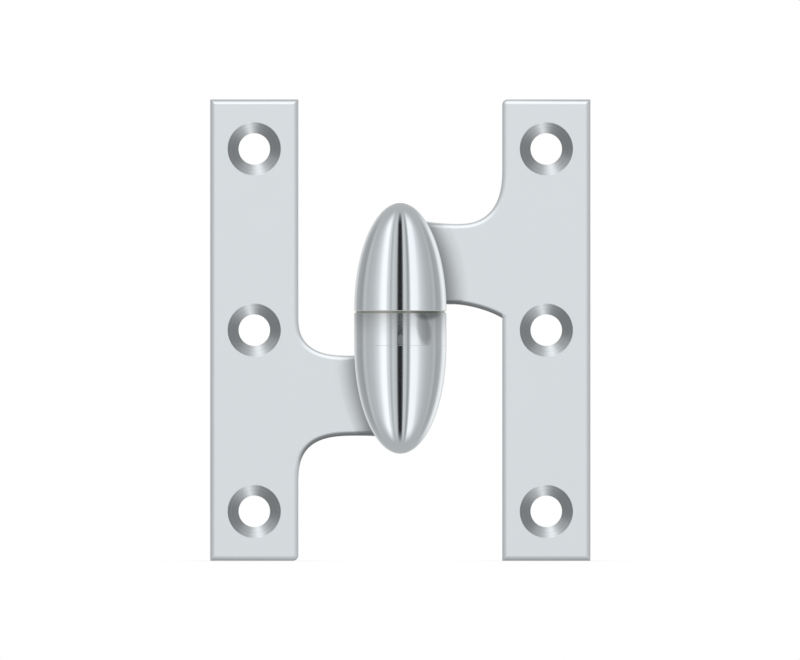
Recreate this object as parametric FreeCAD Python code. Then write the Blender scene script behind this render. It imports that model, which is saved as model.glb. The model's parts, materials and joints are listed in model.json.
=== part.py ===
"""Lift-off paumelle hinge with an olive knuckle, in millimetres, one solid to a sub-part.

Frame: +Z runs up the pin axis and the origin is on that axis, at the leaves' mid height.
The countersunk faces look along -Y, and the hinge lies open flat: the frame leaf, which
holds the pin, is on the -X side, and the door leaf, which lifts off it, is on the +X side.
"""

import FreeCAD
import Part

import math
import os

# Leaf plates
leaf_height = 63.5
plate_width = 12.14
plate_offset = 14.03
leaf_thickness = 2.5
closing_gap = 2.0

# Door leaf's arm, from its plate to its knuckle, measured from the leaves' mid height
door_arm_inner_edge = 3.55
door_arm_outer_edge = 14.63
door_inner_radius = 13.0
door_inner_drop = 1.9
door_notch_round = 0.4
door_outer_run = 6.35
door_outer_rise = 7.85
door_outer_fullness = 0.71
door_flare_radius = 25.0
door_flare_reach = 4.3

# Frame leaf's arm, likewise
frame_arm_inner_edge = 3.49
frame_arm_outer_edge = 14.53
frame_inner_run = 7.15
frame_inner_rise = 5.55
frame_inner_fullness = 0.74
frame_outer_run = 8.5
frame_outer_rise = 7.05
frame_outer_fullness = 0.8
frame_flare_radius = 30.0
frame_flare_reach = 2.1

# Step down of both arms' outer edges inside the knuckles
arm_root_drop = 0.5

# Rounded and broken edges of the leaves
front_round = 0.7
back_round = 0.2
corner_margin = 0.05

# Screw holes
screw_hole_radius = 2.18
screw_head_radius = 3.66
countersink_angle = 82.0
screw_end_distance = 6.8

# Olive: two domed knuckles with the collar and the washer between them
knuckle_radius = 6.35
dome_height = 14.85
collar_height = 4.5
washer_thickness = 0.25
olive_rise = 0.25
washer_recess = 0.22
running_seam_break = 0.1
fixed_seam_break = 0.03

# Pin and its bores
pin_radius = 2.5
pin_depth_in_frame = 9.5
pin_depth_in_door = 9.5
pin_foot_chamfer = 0.3
pin_lead_length = 1.2
pin_lead_width = 0.7
running_clearance = 0.05
collar_clearance = 0.02
washer_clearance = 0.15
bore_end_room = 0.6
drill_point_angle = 118.0

# Places that follow from the sizes above
front_y = closing_gap / 2
back_y = front_y + leaf_thickness
plate_outer_x = plate_offset + plate_width
plate_centre_x = plate_offset + plate_width / 2
screw_pitch = leaf_height / 2 - screw_end_distance
stack_height = collar_height + washer_thickness
frame_seat_z = olive_rise - stack_height / 2
collar_top_z = frame_seat_z + collar_height
door_seat_z = collar_top_z + washer_thickness
corner_round = front_round + corner_margin

# Two places closer than this are one place
same_place = 1e-6

UP = FreeCAD.Vector(0, 0, 1)
TO_BACK = FreeCAD.Vector(0, 1, 0)
ORIGIN = FreeCAD.Vector(0, 0, 0)


def at(x, z, y=0.0):
    """A point of an outline in the plane of the leaves."""
    return FreeCAD.Vector(x, y, z)


def line(start, end):
    """A straight edge."""
    return Part.LineSegment(start, end).toShape()


def revolved(edges):
    """The solid that an outline in the XZ plane, closed along the pin axis, sweeps out."""
    face = Part.Face(Part.Wire(edges))
    return face.revolve(ORIGIN, UP, 360)


def sweep(level, run, rise, fullness):
    """The curve from the plate's edge, rise away from level, into an arm's edge at level.

    Like the other curved edges, it comes with its end on the plate and its end on the arm.
    """
    on_plate = at(plate_offset, level + rise)
    on_arm = at(plate_offset - run, level)
    leaving = at(plate_offset, on_plate.z - rise * fullness)
    arriving = at(on_arm.x + run * fullness, level)
    curve = Part.BezierCurve()
    curve.setPoles([on_plate, leaving, arriving, on_arm])
    return curve.toShape(), on_plate, on_arm


def shallow_sweep(level, radius, drop):
    """The arc that leaves an arm's edge at level tangentially and meets the plate's edge."""
    turn = math.acos(1 - drop / radius)
    centre_x = plate_offset - radius * math.sin(turn)
    centre_z = level - radius
    on_arm = at(centre_x, level)
    middle = at(centre_x + radius * math.sin(turn / 2), centre_z + radius * math.cos(turn / 2))
    on_plate = at(plate_offset, level - drop)
    return Part.Arc(on_plate, middle, on_arm).toShape(), on_plate, on_arm


def flare(start, radius, reach):
    """The shallow arc on which an arm widens from the end of its outer sweep inwards."""
    turn = math.asin(reach / radius)
    points = []
    for angle in (turn / 2, turn):
        rise = radius * (1 - math.cos(angle))
        points.append(at(start.x - radius * math.sin(angle), start.z + rise))
    middle, end = points
    return Part.Arc(start, middle, end).toShape(), start, end


def corner_arc():
    """The one rounded corner of a plate: its inner corner at the arm's end of the leaf."""
    top = leaf_height / 2
    centre_x = plate_offset + corner_round
    centre_z = top - corner_round
    start = at(centre_x, top)
    diagonal = corner_round * math.cos(math.pi / 4)
    middle = at(centre_x - diagonal, centre_z + diagonal)
    end = at(plate_offset, centre_z)
    return Part.Arc(start, middle, end).toShape(), start, end


def leaf_blank(inner, outer, flared, notch_round=0.0):
    """A leaf's plate and arm, with rounded edges, the arm ending on the pin axis.

    inner and outer are the arm's two sweeps and flared is the outer one's flare, each a
    curve with its two ends. A notch_round rounds the corner where inner meets the plate.
    """
    bottom = -leaf_height / 2
    inner_curve, inner_on_plate, inner_on_arm = inner
    outer_curve, outer_on_plate, outer_on_arm = outer
    flare_curve, flare_start, flare_end = flared
    corner, corner_start, corner_end = corner_arc()
    root = at(0, outer_on_arm.z - arm_root_drop)
    outline = Part.Wire(
        [
            line(at(plate_offset, bottom), at(plate_outer_x, bottom)),
            line(at(plate_outer_x, bottom), at(plate_outer_x, leaf_height / 2)),
            line(at(plate_outer_x, leaf_height / 2), corner_start),
            corner,
            line(corner_end, outer_on_plate),
            outer_curve,
            flare_curve,
            line(flare_end, root),
            line(root, at(0, inner_on_arm.z)),
            line(at(0, inner_on_arm.z), inner_on_arm),
            inner_curve,
            line(inner_on_plate, at(plate_offset, bottom)),
        ]
    )
    blank = Part.Face(outline).extrude(TO_BACK * leaf_thickness)
    blank.translate(TO_BACK * front_y)
    if notch_round > 0:
        blank = rounded_notch(blank, inner_on_plate, notch_round)
    blank = rounded_outline(blank, front_y, front_round)
    return rounded_outline(blank, back_y, back_round)


def rounded_notch(blank, corner, radius):
    """Rounds the upright corner of a blank that runs through a point of its outline."""
    edges = []
    for edge in blank.Edges:
        middle = edge.BoundBox.Center
        if math.hypot(middle.x - corner.x, middle.z - corner.z) < same_place:
            edges.append(edge)
    return blank.makeFillet(radius, edges)


def rounded_outline(blank, face_y, radius):
    """Rounds the edges of the face at face_y, apart from the arm's end inside the knuckle."""
    edges = []
    for edge in blank.Edges:
        box = edge.BoundBox
        lies_on_face = max(abs(box.YMin - face_y), abs(box.YMax - face_y)) < same_place
        is_arm_end = box.XMax < same_place
        if lies_on_face and not is_arm_end:
            edges.append(edge)
    return blank.makeFillet(radius, edges)


def dome(seat_z, rim_break):
    """A knuckle before it is bored: a half ellipsoid with a broken rim, standing on seat_z."""
    rim_z = seat_z + rim_break
    tip = at(0, seat_z + dome_height)
    return revolved(
        [
            line(at(0, seat_z), at(knuckle_radius - rim_break, seat_z)),
            line(at(knuckle_radius - rim_break, seat_z), at(knuckle_radius, rim_z)),
            quarter_ellipse(at(0, rim_z), knuckle_radius, tip.z - rim_z),
            line(tip, at(0, seat_z)),
        ]
    )


def quarter_ellipse(centre, across, up):
    """The quarter of an upright ellipse between its tip and its side."""
    ellipse = Part.Ellipse(centre + UP * up, centre + at(across, 0), centre)
    return ellipse.toShape(0, math.pi / 2)


def blind_bore(radius, seat_z, depth):
    """The space that a drill leaves from a knuckle's seat upwards, with its conical end."""
    end_z = seat_z + depth
    point = radius / math.tan(math.radians(drill_point_angle / 2))
    return revolved(
        [
            line(at(0, seat_z), at(radius, seat_z)),
            line(at(radius, seat_z), at(radius, end_z)),
            line(at(radius, end_z), at(0, end_z + point)),
            line(at(0, end_z + point), at(0, seat_z)),
        ]
    )


def screw_holes():
    """The three countersunk holes of a leaf, as the solids to take out of it."""
    widening = screw_head_radius - screw_hole_radius
    sink_depth = widening / math.tan(math.radians(countersink_angle / 2))
    holes = []
    for step in (-1, 0, 1):
        mouth = at(plate_centre_x, step * screw_pitch, front_y)
        holes.append(Part.makeCylinder(screw_hole_radius, leaf_thickness, mouth, TO_BACK))
        holes.append(
            Part.makeCone(screw_head_radius, screw_hole_radius, sink_depth, mouth, TO_BACK)
        )
    return holes


def casting(blank, knuckle, bore):
    """A whole leaf in one piece: plate, arm and knuckle, drilled for the screws and the pin."""
    return blank.fuse(knuckle).cut(screw_holes() + [bore]).removeSplitter()


def door_leaf():
    """The leaf on the door, which drops over the pin from above."""
    inner = shallow_sweep(door_arm_inner_edge, door_inner_radius, door_inner_drop)
    outer = sweep(door_arm_outer_edge, door_outer_run, door_outer_rise, door_outer_fullness)
    flared = flare(outer[2], door_flare_radius, door_flare_reach)
    blank = leaf_blank(inner, outer, flared, door_notch_round)
    knuckle = dome(door_seat_z, running_seam_break)
    bore_depth = pin_depth_in_door + bore_end_room
    bore = blind_bore(pin_radius + running_clearance, door_seat_z, bore_depth)
    return casting(blank, knuckle, bore)


def frame_leaf():
    """The leaf on the frame, made knuckle up like the other and turned half way round."""
    inner = sweep(frame_arm_inner_edge, frame_inner_run, -frame_inner_rise, frame_inner_fullness)
    outer = sweep(frame_arm_outer_edge, frame_outer_run, frame_outer_rise, frame_outer_fullness)
    flared = flare(outer[2], frame_flare_radius, frame_flare_reach)
    blank = leaf_blank(inner, outer, flared)
    seat_z = -frame_seat_z
    knuckle = dome(seat_z, fixed_seam_break)
    bore = blind_bore(pin_radius, seat_z, pin_depth_in_frame + bore_end_room)
    turned = casting(blank, knuckle, bore)
    turned.rotate(ORIGIN, TO_BACK, 180)
    return turned


def hinge_pin():
    """The steel pin, pressed into the frame leaf, with a tapered lead for the door leaf."""
    foot_z = frame_seat_z - pin_depth_in_frame
    top_z = door_seat_z + pin_depth_in_door
    foot_radius = pin_radius - pin_foot_chamfer
    lead_radius = pin_radius - pin_lead_width
    lead_z = top_z - pin_lead_length
    return revolved(
        [
            line(at(0, foot_z), at(foot_radius, foot_z)),
            line(at(foot_radius, foot_z), at(pin_radius, foot_z + pin_foot_chamfer)),
            line(at(pin_radius, foot_z + pin_foot_chamfer), at(pin_radius, lead_z)),
            line(at(pin_radius, lead_z), at(lead_radius, top_z)),
            line(at(lead_radius, top_z), at(0, top_z)),
            line(at(0, top_z), at(0, foot_z)),
        ]
    )


def bearing_collar():
    """The ring between the knuckles, as wide as they are, seated on the frame leaf's."""
    foot_radius = knuckle_radius - fixed_seam_break
    foot_break_z = frame_seat_z + fixed_seam_break
    top_radius = knuckle_radius - running_seam_break
    top_break_z = collar_top_z - running_seam_break
    ring = revolved(
        [
            line(at(0, frame_seat_z), at(foot_radius, frame_seat_z)),
            line(at(foot_radius, frame_seat_z), at(knuckle_radius, foot_break_z)),
            line(at(knuckle_radius, foot_break_z), at(knuckle_radius, top_break_z)),
            line(at(knuckle_radius, top_break_z), at(top_radius, collar_top_z)),
            line(at(top_radius, collar_top_z), at(0, collar_top_z)),
            line(at(0, collar_top_z), at(0, frame_seat_z)),
        ]
    )
    bore = pin_radius + collar_clearance
    return ring.cut(Part.makeCylinder(bore, collar_height, at(0, frame_seat_z), UP))


def thrust_washer():
    """The thin brass washer on the collar that the door leaf's knuckle turns on."""
    seat = at(0, collar_top_z)
    disc = Part.makeCylinder(knuckle_radius - washer_recess, washer_thickness, seat, UP)
    hole = Part.makeCylinder(pin_radius + washer_clearance, washer_thickness, seat, UP)
    return disc.cut(hole)


def main():
    """Builds each sub-part and writes it to its own file."""
    os.makedirs("parts", exist_ok=True)
    sub_parts = {
        "frame_leaf": frame_leaf(),
        "door_leaf": door_leaf(),
        "hinge_pin": hinge_pin(),
        "bearing_collar": bearing_collar(),
        "thrust_washer": thrust_washer(),
    }
    for name, shape in sub_parts.items():
        shape.exportStep(os.path.join("parts", name + ".step"))
        print(name, "solids", len(shape.Solids), "valid", shape.isValid(), round(shape.Volume, 2))


main()
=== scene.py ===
"""Looks of a lift-off paumelle hinge with an olive knuckle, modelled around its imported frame.

Both leaves, their domed knuckles, the collar, the washer and the pin are modelled as clean
meshes that take polished reflections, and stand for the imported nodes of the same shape.
Everything is in the row's frame: +Z runs up the pin axis and the countersunk faces look
along -Y. Sizes are written in millimetres and turned into metres by MM.
"""

import json
import logging
import math
from contextlib import contextmanager
from dataclasses import dataclass
from enum import Enum
from typing import Any, Callable, Iterator, List, Mapping, Optional, Sequence, Tuple, Union

import bmesh
import bpy
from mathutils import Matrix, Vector

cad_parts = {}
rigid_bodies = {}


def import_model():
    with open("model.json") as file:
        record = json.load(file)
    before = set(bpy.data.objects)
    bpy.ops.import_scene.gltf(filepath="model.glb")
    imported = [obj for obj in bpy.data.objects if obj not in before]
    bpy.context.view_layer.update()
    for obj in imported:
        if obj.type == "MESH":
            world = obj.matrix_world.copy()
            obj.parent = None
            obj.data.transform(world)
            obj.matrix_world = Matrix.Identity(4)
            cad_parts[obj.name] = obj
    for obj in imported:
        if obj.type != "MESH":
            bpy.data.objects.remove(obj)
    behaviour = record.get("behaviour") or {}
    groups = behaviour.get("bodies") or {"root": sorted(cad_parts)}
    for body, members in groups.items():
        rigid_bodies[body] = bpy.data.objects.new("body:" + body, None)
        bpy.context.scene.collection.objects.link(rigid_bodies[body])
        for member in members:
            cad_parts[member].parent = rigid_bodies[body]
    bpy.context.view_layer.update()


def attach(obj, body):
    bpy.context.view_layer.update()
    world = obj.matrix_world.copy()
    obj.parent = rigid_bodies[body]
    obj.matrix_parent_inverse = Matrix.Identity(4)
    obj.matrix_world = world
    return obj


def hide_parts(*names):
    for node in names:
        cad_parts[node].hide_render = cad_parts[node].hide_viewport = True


LOG = logging.getLogger("paumelle hinge")

MM = 0.001
NEAR = 0.002 * MM
FACING = 0.9
FLAT_ANGLE = math.radians(1)
SMOOTH_ANGLE = 30.0
WHITE = (1.0, 1.0, 1.0, 1.0)
SMOOTH = {"interpolation_type": "SMOOTHSTEP"}
UP, ACROSS = (0, 0, 1), (1, 0, 0)

Point = Tuple[float, float, float]
Value = Union["Signal", float, int]
Grades = Sequence[Tuple[float, float]]
Lengths = Sequence[float]
Named = Optional[Mapping[Union[str, int], Any]]
Grid = Tuple[int, int]
Material = bpy.types.Material
Shapes = Sequence[bpy.types.Object]
Vertex = bmesh.types.BMVert
Edge = bmesh.types.BMEdge


@dataclass(frozen=True)
class HingeSizes:
    """Driving sizes of the hinge in millimetres, the same as those of its solids."""

    leaf_height: float = 63.5
    plate_width: float = 12.14
    plate_offset: float = 14.03
    leaf_thickness: float = 2.5
    closing_gap: float = 2.0
    arm_root_drop: float = 0.5
    front_round: float = 0.7
    back_round: float = 0.2
    corner_round: float = 0.75
    screw_hole_radius: float = 2.18
    screw_head_radius: float = 3.66
    countersink_angle: float = 82.0
    screw_end_distance: float = 6.8
    knuckle_radius: float = 6.35
    dome_height: float = 14.85
    collar_height: float = 4.5
    washer_thickness: float = 0.25
    washer_recess: float = 0.22
    olive_rise: float = 0.25
    running_seam_break: float = 0.1
    fixed_seam_break: float = 0.03
    pin_radius: float = 2.5
    pin_depth: float = 9.5
    pin_foot_chamfer: float = 0.3
    pin_lead_length: float = 1.2
    pin_lead_width: float = 0.7
    running_clearance: float = 0.05
    collar_clearance: float = 0.02
    washer_clearance: float = 0.15
    bore_end_room: float = 0.6
    drill_point_angle: float = 118.0

    @property
    def front_y(self) -> float:
        """Depth of the countersunk faces behind the pin axis."""
        return self.closing_gap / 2

    @property
    def back_y(self) -> float:
        """Depth of the leaves' backs behind the pin axis."""
        return self.front_y + self.leaf_thickness

    @property
    def plate_centre(self) -> float:
        """Distance from the pin axis to the line of screw holes."""
        return self.plate_offset + self.plate_width / 2

    @property
    def screw_pitch(self) -> float:
        """Distance between neighbouring screw holes."""
        return self.leaf_height / 2 - self.screw_end_distance

    @property
    def frame_seat(self) -> float:
        """Height of the lower knuckle's flat top, which carries the collar."""
        return self.olive_rise - (self.collar_height + self.washer_thickness) / 2

    @property
    def collar_top(self) -> float:
        """Height of the collar's top, which carries the washer."""
        return self.frame_seat + self.collar_height

    @property
    def door_seat(self) -> float:
        """Height of the upper knuckle's flat foot."""
        return self.collar_top + self.washer_thickness

    @property
    def seam_break(self) -> float:
        """Width of the knuckles' broken edges, as an average of the two."""
        return (self.running_seam_break + self.fixed_seam_break) / 2

    @property
    def rim(self) -> float:
        """Height at which both knuckles are widest, as an average of the two."""
        return (self.door_seat - self.frame_seat) / 2 + self.seam_break

    @property
    def dome(self) -> float:
        """Height of a knuckle's dome above its widest place."""
        return self.dome_height - self.seam_break


SIZES = HingeSizes()


class InnerSweep(Enum):
    """How an arm's inner edge meets the plate's edge."""

    FULL = "a full curve, tangent to both"
    SHALLOW = "a shallow arc that meets the plate at a notch"


@dataclass(frozen=True)
class Arc:
    """A round curve that slowly leaves its line, sizes in millimetres."""

    radius: float
    reach: float

    @property
    def turn(self) -> float:
        """Angle that it turns through, in radians."""
        return math.asin(self.reach / self.radius)

    @property
    def tangent(self) -> float:
        """Distance from its end to where its end tangents cross."""
        return self.radius * math.tan(self.turn / 2)

    def drop(self, along: float) -> float:
        """How far it has left its line at a distance along it."""
        return self.radius - math.sqrt(self.radius**2 - along**2)


@dataclass(frozen=True)
class ArmSizes:
    """Edges of an arm in millimetres, measured from the leaves' mid height."""

    sweep: InnerSweep
    inner_edge: float
    inner_run: float
    inner_rise: float
    inner_fullness: float
    outer_edge: float
    outer_run: float
    outer_rise: float
    outer_fullness: float
    flare: Arc

    @property
    def shallow(self) -> Arc:
        """The arc of a shallow inner sweep."""
        radius = (self.inner_run**2 + self.inner_rise**2) / (2 * self.inner_rise)
        return Arc(radius, self.inner_run)

    def inner_drop(self, outwards: float) -> float:
        """Works out how far the inner edge has dropped.

        Args:
            outwards: The distance outwards from its sweep's start.

        Returns:
            The drop.
        """
        if outwards <= 0:
            return 0.0
        if self.sweep is InnerSweep.SHALLOW:
            return self.shallow.drop(outwards)
        power = -math.log(2) / math.log(math.sqrt(profile_of(self.inner_fullness)))
        return self.inner_rise * (1 - (1 - (outwards / self.inner_run) ** power) ** (1 / power))

    def flare_rise(self, inwards: float) -> float:
        """How far the outer edge has risen at a distance inwards from the flare's start."""
        return self.flare.drop(min(max(inwards, 0.0), self.flare.reach))


DOOR_ARM = ArmSizes(
    InnerSweep.SHALLOW, 3.55, 6.767, 1.9, 0.0, 14.63, 6.35, 7.85, 0.71, Arc(25.0, 4.3)
)
FRAME_ARM = ArmSizes(
    InnerSweep.FULL, 3.49, 7.15, 5.55, 0.74, 14.53, 8.5, 7.05, 0.8, Arc(30.0, 2.1)
)


def operator(operation: str, flipped: bool = False) -> Callable[["Signal", Value], "Signal"]:
    """Makes a Python operator out of a Math node.

    Args:
        operation: The node's operation.
        flipped: Whether the other value comes first.

    Returns:
        The operator, as a method of Signal.
    """

    def method(signal: "Signal", other: Value) -> "Signal":
        """Adds the Math node for this signal and the other value."""
        pair = (other, signal) if flipped else (signal, other)
        return signal.graph.math(operation, *pair)

    return method


class Signal:
    """A shader socket that can stand in a Python expression; each operator adds a Math node."""

    def __init__(self, graph: "Graph", socket: bpy.types.NodeSocket) -> None:
        """Notes an output socket and the node tree that it belongs to."""
        self.graph, self.socket = graph, socket

    def math(self, operation: str, *others: Value, clamp: bool = False) -> "Signal":
        """Puts this signal and the others through a Math node, as Graph.math does."""
        return self.graph.math(operation, self, *others, clamp=clamp)

    __add__ = __radd__ = operator("ADD")
    __sub__ = operator("SUBTRACT")
    __rsub__ = operator("SUBTRACT", flipped=True)
    __mul__ = __rmul__ = operator("MULTIPLY")
    __truediv__ = operator("DIVIDE")
    __rtruediv__ = operator("DIVIDE", flipped=True)
    __pow__ = operator("POWER")

    def __abs__(self) -> "Signal":
        """The signal without its sign."""
        return self.math("ABSOLUTE")

    def clamped(self) -> "Signal":
        """The signal, held between 0 and 1."""
        return self.math("MULTIPLY", 1.0, clamp=True)


class Graph:
    """A node tree of a material or a world, filled by expressions."""

    def __init__(self, tree: bpy.types.NodeTree) -> None:
        """Takes over a node tree and empties it."""
        self.tree = tree
        tree.nodes.clear()

    def node(self, kind: str, settings: Named = None, inputs: Named = None) -> bpy.types.Node:
        """Adds any node.

        Args:
            kind: The node's type.
            settings: Its own settings; "stops" gives a colour ramp's places and grey levels.
            inputs: Values or signals for its input sockets, by name or number.

        Returns:
            The new node.
        """
        made = self.tree.nodes.new(kind)
        for name, value in (settings or {}).items():
            if name == "stops":
                fill_ramp(made.color_ramp, value)
            else:
                setattr(made, name, value)
        for name, value in (inputs or {}).items():
            if isinstance(value, Signal):
                self.tree.links.new(value.socket, made.inputs[name])
            else:
                made.inputs[name].default_value = value
        return made

    def take(
        self, kind: str, output: Union[str, int] = 0, settings: Named = None, inputs: Named = None
    ) -> Signal:
        """Adds any node, as node does, and takes one of its outputs, by name or number."""
        return Signal(self, self.node(kind, settings, inputs).outputs[output])

    def math(self, operation: str, *values: Value, clamp: bool = False) -> Signal:
        """Adds a Math node, whose result may be held between 0 and 1, for some values."""
        settings = {"operation": operation, "use_clamp": clamp}
        return self.take("ShaderNodeMath", 0, settings, dict(enumerate(values)))

    def vector(self, operation: str, *values: Any) -> Signal:
        """Adds a Vector Math node for some values."""
        settings = {"operation": operation}
        return self.take("ShaderNodeVectorMath", 0, settings, dict(enumerate(values)))

    def split(self, vector: Signal) -> Sequence[Signal]:
        """Splits a vector into its three parts."""
        parts = self.node("ShaderNodeSeparateXYZ", inputs={0: vector})
        return [Signal(self, parts.outputs[name]) for name in "XYZ"]

    def remap(self, value: Signal, low: float, high: float, top: float = 1.0) -> Signal:
        """Turns the range from low to high into 0 to the top, smoothly and clamped."""
        inputs = {"Value": value, "From Min": low, "From Max": high, "To Max": top}
        return self.take("ShaderNodeMapRange", "Result", SMOOTH, inputs)

    def blend(self, factor: Value, first: Any, second: Any) -> Signal:
        """Mixes two colours, from 0 for the first to 1 for the second."""
        inputs = {0: factor, 6: first, 7: second}
        return self.take("ShaderNodeMix", 2, {"data_type": "RGBA"}, inputs)

    def ramp(self, share: Signal, grades: Grades, whole: float, level: float) -> Signal:
        """Grades light by an angle's share of the whole, to greys seen on metal of a level."""
        stops = [(angle / whole, linear(grey) / level) for angle, grey in grades]
        return self.take("ShaderNodeValToRGB", "Color", {"stops": stops}, {"Fac": share})

    def metal(self, colour: Signal, roughness: Value, **more: Signal) -> Signal:
        """Adds bare metal of a colour and a roughness, with more inputs by name."""
        inputs = {"Base Color": colour, "Metallic": 1.0, "Roughness": roughness, **more}
        return self.take("ShaderNodeBsdfPrincipled", "BSDF", inputs=inputs)

    def close(self, kind: str, shader: Signal) -> None:
        """Links a shader to an output node of a kind."""
        self.node(kind, inputs={"Surface": shader})


def new_material(name: str) -> Tuple[Material, Graph]:
    """Starts a material.

    Args:
        name: Its name.

    Returns:
        The material and its emptied node tree.
    """
    made = bpy.data.materials.new(name)
    made.use_nodes = True
    return made, Graph(made.node_tree)


def fill_ramp(ramp: bpy.types.ColorRamp, stops: Grades) -> None:
    """Gives a grey colour ramp its stops.

    Args:
        ramp: The ramp.
        stops: Each stop's position and grey level, in order.
    """
    while len(ramp.elements) > 1:
        ramp.elements.remove(ramp.elements[-1])
    for number, (place, level) in enumerate(stops):
        element = ramp.elements[0] if number == 0 else ramp.elements.new(place)
        element.position = place
        element.color = grey(level)


def grey(level: float) -> Sequence[float]:
    """A neutral colour of a linear level."""
    return (level, level, level, 1.0)


def linear(level: float) -> float:
    """Turns a display level from 0 to 255 into linear light, where 1 is white (sRGB)."""
    share = level / 255
    return share / 12.92 if share <= 0.04045 else ((share + 0.055) / 1.055) ** 2.4


@dataclass(frozen=True)
class Patch:
    """A patch on a piece's front that is darker, rougher or both, sizes in millimetres."""

    x: float
    z: float
    half_width: float
    half_height: float
    shade: float = 0.0
    veil: float = 0.0
    lean: float = 0.0
    softness: float = 0.8

    def share(self, graph: Graph, place: Signal) -> Signal:
        """Says how thick the patch is at a place.

        Args:
            graph: The material's node tree.
            place: The place on the piece.

        Returns:
            1 in the patch's middle, 0 beyond its soft edge and on the piece's back.
        """
        across, depth, height = graph.split(place)
        above = (height - self.z * MM) / (self.half_height * MM)
        middle = above * (self.lean * self.half_height * MM) + self.x * MM
        aside = (across - middle) / (self.half_width * MM)
        inside = 1 - aside * aside - above * above
        return graph.remap(inside, 0.0, self.softness) * depth.math("LESS_THAN", 0.0)


@dataclass(frozen=True)
class WearAndPaintedShade:
    """A greasy veil and painted shade near the running seam, and darker or veiled patches."""

    veil: float = 0.0
    veil_roughness: float = 0.5
    seam_shade: float = 0.0
    seam_reach: float = 4.5
    patches: Sequence[Patch] = ()

    def spread(self, graph: Graph, place: Signal, cloud: Signal) -> Tuple[Signal, Signal]:
        """Spreads the wear over the piece.

        Args:
            graph: The material's node tree.
            place: The place on the piece.
            cloud: The piece's haze.

        Returns:
            The share of the colour that stays, and how far the veil covers it.
        """
        below = (SIZES.collar_top * MM - graph.split(place)[2]) / (self.seam_reach * MM)
        near = (1 - below).clamped()
        # Painted shade under the knuckle, darkest at the collar's top.
        bright = 1 - near * near * self.seam_shade
        veiled = cloud * near * (2 * self.veil)
        for patch in self.patches:
            inside = patch.share(graph, place)
            bright = bright * (1 - inside * patch.shade)
            veiled = veiled + inside * patch.veil
        return bright, veiled


@dataclass(frozen=True)
class ArmPaintedShade:
    """Painted shade at an arm's root and under it, and a painted highlight along its top.

    A root has a depth of shade, a power by which it falls, and a reach in millimetres. The
    others are ranges, with how much they add at their far end: over heights in millimetres
    for the left root's fade, and over slopes for the rest.
    """

    left_root: Point = (0.4, 2.3, 3.6)
    right_root: Point = (0.55, 1.2, 3.3)
    left_fade: Point = (6.0, 14.0, 0.62)
    edge_fade: Point = (0.2, 0.7, 0.6)
    under: Point = (0.0, 0.45, 0.57)
    over: Point = (0.75, 0.95, 0.5)

    def spread(self, graph: Graph, place: Signal) -> Signal:
        """Spreads the painted shade and highlight over both arms.

        Args:
            graph: The material's node tree.
            place: The place on the piece.

        Returns:
            The colour's share that stays; a little over 1 for the painted highlight on the upper
            edge.
        """
        along, _, height = graph.split(place)
        across = abs(along)
        share = (abs(height) - SIZES.rim * MM) / (SIZES.dome * MM)
        half_width = (1 - share * share).math("MAXIMUM", 0).math("SQRT")
        away = across - half_width * (SIZES.knuckle_radius * MM)
        # Painted shade where the arm runs into the knuckle, fading over each root's reach.
        left, right = (
            (1 - away / (reach * MM)).clamped() ** power * depth
            for depth, power, reach in (self.left_root, self.right_root)
        )
        low, high, lost = self.left_fade
        left = left * (1 - graph.remap(height * -1, low * MM, high * MM, lost))
        on_right = along.math("GREATER_THAN", 0.0)
        upwards = graph.split(graph.take("ShaderNodeTexCoord", "Normal"))[2]
        root = left * (1 - on_right) + right * on_right
        root = root * (1 - graph.remap(abs(upwards), *self.edge_fade))
        on_arm = across.math("LESS_THAN", SIZES.plate_offset * MM)
        # Painted shade on the arm's downward edge, and a painted highlight on its upward edge.
        under = graph.remap(upwards * -1, *self.under) * on_arm
        over = graph.remap(upwards, *self.over) * on_arm
        return (1 - root) * (1 - under) * (1 + over)


@dataclass(frozen=True)
class ChromeFinish:
    """Bare metal, polished or satin, over the casting's own slight unevenness."""

    name: str
    tint: Point
    roughness: float
    haze: float
    haze_size: float
    arm: Optional[ArmPaintedShade] = None
    wear_and_shade: Optional[WearAndPaintedShade] = None
    unevenness: float = 0.01

    def material(self) -> Material:
        """Makes the finish.

        Returns:
            A metal clouded by polishing haze, with any painted shade, and veiled if it is worn.
        """
        made, graph = new_material(self.name)
        place = graph.take("ShaderNodeTexCoord", "Object")
        inputs = {"Vector": place, "Scale": 1 / (self.haze_size * MM), "Detail": 4.0}
        cloud = graph.take("ShaderNodeTexNoise", "Fac", inputs=inputs)
        dull, pale = (
            tuple(min(1.0, part * gain) for part in self.tint) + (1.0,)
            for gain in (1 - self.unevenness, 1 + self.unevenness)
        )
        colour = graph.blend(cloud, dull, pale)
        roughness = (cloud - 0.5) * (2 * self.haze) + self.roughness
        # Painted shade and highlight on the arms.
        if self.arm:
            colour = graph.vector("MULTIPLY", colour, self.arm.spread(graph, place))
        # Painted shade near the seam, and the patches' darker colour.
        if self.wear_and_shade:
            bright, veiled = self.wear_and_shade.spread(graph, place, cloud)
            colour = graph.vector("MULTIPLY", colour, bright)
        shader = graph.metal(colour, roughness)
        if self.wear_and_shade:
            rough = graph.metal(colour, self.wear_and_shade.veil_roughness)
            inputs = {0: veiled, 1: shader, 2: rough}
            shader = graph.take("ShaderNodeMixShader", 0, inputs=inputs)
        graph.close("ShaderNodeOutputMaterial", shader)
        return made


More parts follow.
